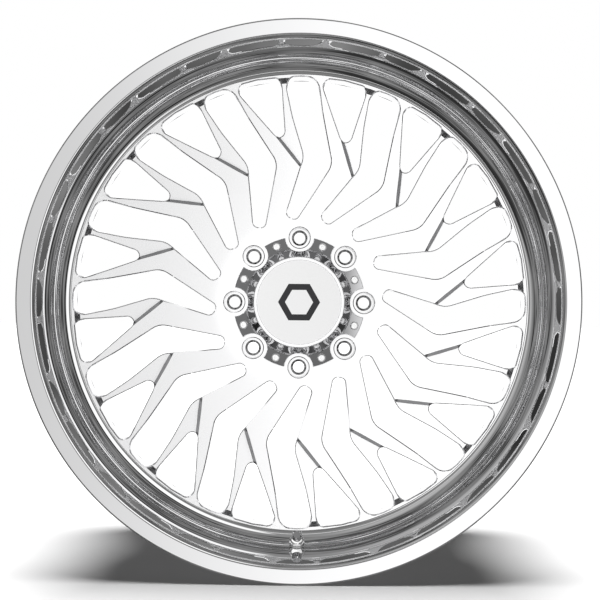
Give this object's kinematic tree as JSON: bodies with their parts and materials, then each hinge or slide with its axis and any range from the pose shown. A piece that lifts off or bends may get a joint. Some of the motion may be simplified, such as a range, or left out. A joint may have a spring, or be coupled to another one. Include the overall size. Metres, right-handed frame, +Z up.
{
  "type": "forged wheel rim",
  "caption": "Polished forged truck wheel with a deep outer lip, a concave directional spoke face, a bolt-on centre cap and a metal tyre valve.",
  "frame": {"origin": "centre of the wheel: on the spin axis, midway between the two flanges", "axes": "+Y along the spin axis towards the inboard side, so the outboard face looks towards -Y; +Z up, with the valve at the bottom"},
  "size_m": [0.6441, 0.3308, 0.6442],
  "materials": {
    "polished_barrel": "polished",
    "polished_face": "polished",
    "cap_billet": "polished",
    "satin_badge": "satin",
    "dark_emblem": "satin",
    "screw_steel": "polished",
    "valve_metal": "polished",
    "seal_rubber": "matte",
    "core_brass": "satin",
    "spring_steel": "satin"
  },
  "bodies": {
    "wheel": {"rim_barrel": "polished_barrel", "forged_centre": "polished_face", "valve_stem": "valve_metal", "valve_grommet": "seal_rubber", "valve_outer_seal": "seal_rubber", "valve_washer": "valve_metal", "valve_nut": "valve_metal", "valve_core_body": "core_brass", "valve_core_gasket": "seal_rubber", "valve_core_spring": "spring_steel"},
    "centre_cap": {"cap_body": "cap_billet", "cap_badge": "satin_badge", "cap_emblem": "dark_emblem"},
    "cap_screws": {"cap_screw_1": "screw_steel", "cap_screw_2": "screw_steel", "cap_screw_3": "screw_steel", "cap_screw_4": "screw_steel", "cap_screw_5": "screw_steel", "cap_screw_6": "screw_steel", "cap_screw_7": "screw_steel", "cap_screw_8": "screw_steel"},
    "valve_cap": {"valve_cap": "valve_metal", "valve_cap_seal": "seal_rubber"},
    "valve_pin": {"valve_core_pin": "core_brass", "valve_core_seal": "seal_rubber"}
  },
  "joints": [
    {"name": "centre_cap_off", "type": "slide", "parent": "wheel", "child": "centre_cap", "axis": [0, -1, 0], "range_m": [0, 0.06]},
    {"name": "cap_screws_out", "type": "slide", "parent": "centre_cap", "child": "cap_screws", "axis": [0, -1, 0], "range_m": [0, 0.02]},
    {"name": "valve_cap_off", "type": "slide", "parent": "wheel", "child": "valve_cap", "axis": [0, -0.766, 0.6428], "range_m": [0, 0.014]},
    {"name": "valve_pin_press", "type": "slide", "parent": "wheel", "child": "valve_pin", "axis": [0, 0.766, -0.6428], "range_m": [0, 0.001], "stiffness_N_per_m": 1500, "springref_m": -0.001}
  ]
}
